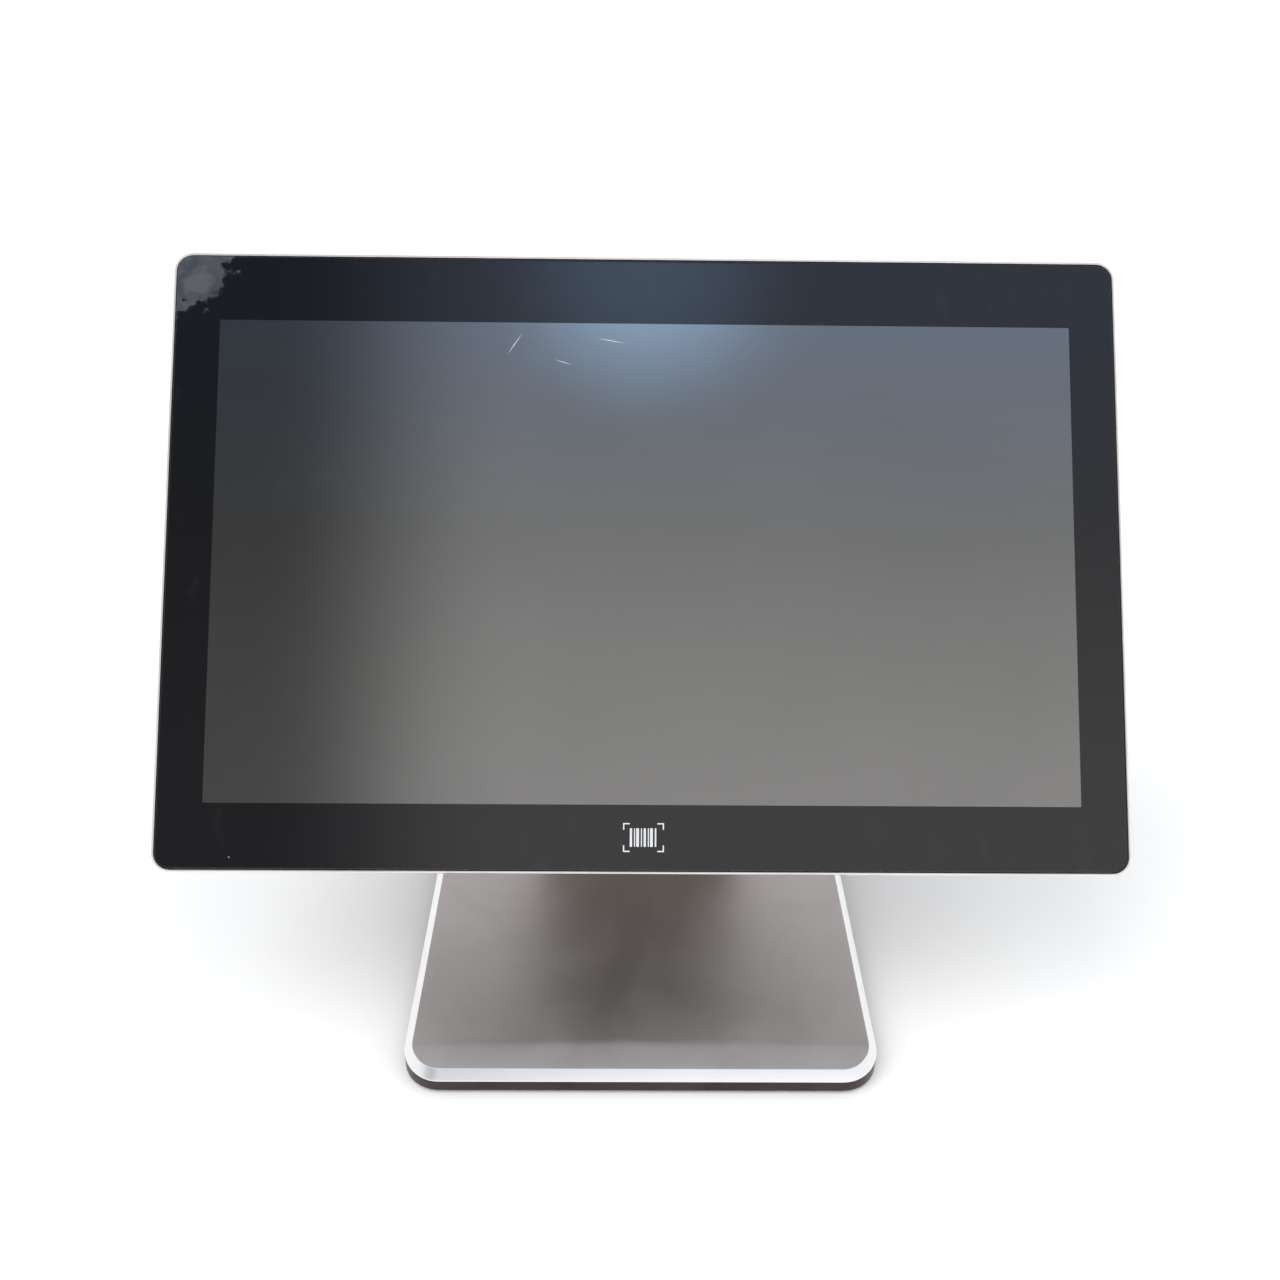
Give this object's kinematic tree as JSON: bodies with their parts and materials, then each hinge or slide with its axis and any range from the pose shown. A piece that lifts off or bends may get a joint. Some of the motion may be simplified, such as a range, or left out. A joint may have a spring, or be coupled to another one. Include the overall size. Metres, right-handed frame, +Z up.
{
  "type": "pos touchscreen terminal",
  "caption": "Countertop point-of-sale terminal: wide glass-fronted touchscreen head on a tilting friction hinge, hollow neck and flat weighted aluminium base.",
  "frame": {"origin": "on the counter surface under the centre of the base", "axes": "+Z up, the screen faces -Y towards the user, +X to the right seen from the front"},
  "size_m": [0.3832, 0.2, 0.2871],
  "materials": {
    "glass": "polished cover glass with a black printed border",
    "sensor_film": "clear touch film over the display, satin",
    "foam_tape": "matte black foam tape",
    "frame_aluminium": "bright anodised aluminium rim",
    "display_module": "hazy anti-glare polariser, switched off",
    "zinc_steel": "zinc-plated steel sheet",
    "circuit_board": "green solder mask with dark chips",
    "heatsink_aluminium": "extruded aluminium fins",
    "speaker_plastic": "black moulded plastic",
    "socket_plastic": "black moulded plastic",
    "socket_shell": "nickel-plated pressed shell",
    "cover_plastic": "black moulded plastic with a fine spark texture",
    "screw_steel": "blackened steel",
    "button_plastic": "satin black plastic",
    "spring_brass": "spring bronze washer",
    "satin_aluminium": "bead-blasted anodised aluminium with a polished edge chamfer",
    "bottom_steel": "black powder-coated steel",
    "rubber": "matte black rubber",
    "cast_weight": "rough cast iron ballast"
  },
  "bodies": {
    "stand": {"base_shell": "satin_aluminium", "base_bottom_plate": "bottom_steel", "base_screw_1": "screw_steel", "base_screw_2": "screw_steel", "base_screw_3": "screw_steel", "base_screw_4": "screw_steel", "foot_front_left": "rubber", "foot_front_right": "rubber", "foot_rear_left": "rubber", "foot_rear_right": "rubber", "counterweight": "cast_weight", "neck_bolt_left": "screw_steel", "neck_bolt_right": "screw_steel", "neck_core": "zinc_steel", "neck_front_shell": "satin_aluminium", "neck_rear_cover": "cover_plastic", "cable_grommet": "rubber"},
    "head": {"cover_glass": "glass", "touch_sensor": "sensor_film", "glass_adhesive": "foam_tape", "front_frame": "frame_aluminium", "lcd_panel": "display_module", "mid_chassis": "zinc_steel", "mainboard": "circuit_board", "cpu_heatsink": "heatsink_aluminium", "memory_module": "circuit_board", "storage_card": "circuit_board", "touch_controller": "circuit_board", "speaker_left": "speaker_plastic", "speaker_right": "speaker_plastic", "dc_inlet": "socket_plastic", "drawer_port": "socket_plastic", "lan_port": "socket_shell", "usb_stack_a": "socket_shell", "usb_stack_b": "socket_shell", "video_port": "socket_shell", "serial_port": "socket_shell", "rear_cover": "cover_plastic", "rear_screw_1": "screw_steel", "rear_screw_2": "screw_steel", "rear_screw_3": "screw_steel", "rear_screw_4": "screw_steel", "power_switch": "socket_plastic", "hinge_bridge": "zinc_steel", "hinge_shaft": "screw_steel", "friction_washer_left": "spring_brass", "friction_washer_right": "spring_brass", "lock_nut_left": "screw_steel", "lock_nut_right": "screw_steel", "hinge_cover_left": "cover_plastic", "hinge_cover_right": "cover_plastic"},
    "power_button": {"power_button": "button_plastic"},
    "cable_cover": {"cable_cover": "cover_plastic"}
  },
  "joints": [
    {"name": "head_tilt", "type": "hinge", "parent": "stand", "child": "head", "pos_m": [0, 0.03328, 0.13674], "axis": [-1, 0, 0], "range_deg": [-32, 28]},
    {"name": "power_press", "type": "slide", "parent": "head", "child": "power_button", "axis": [-1, 0, 0], "range_m": [0, 0.0009], "stiffness_N_per_m": 600},
    {"name": "cable_cover_slide", "type": "slide", "parent": "head", "child": "cable_cover", "axis": [0, -0.6018, -0.7986], "range_m": [0, 0.04]}
  ]
}
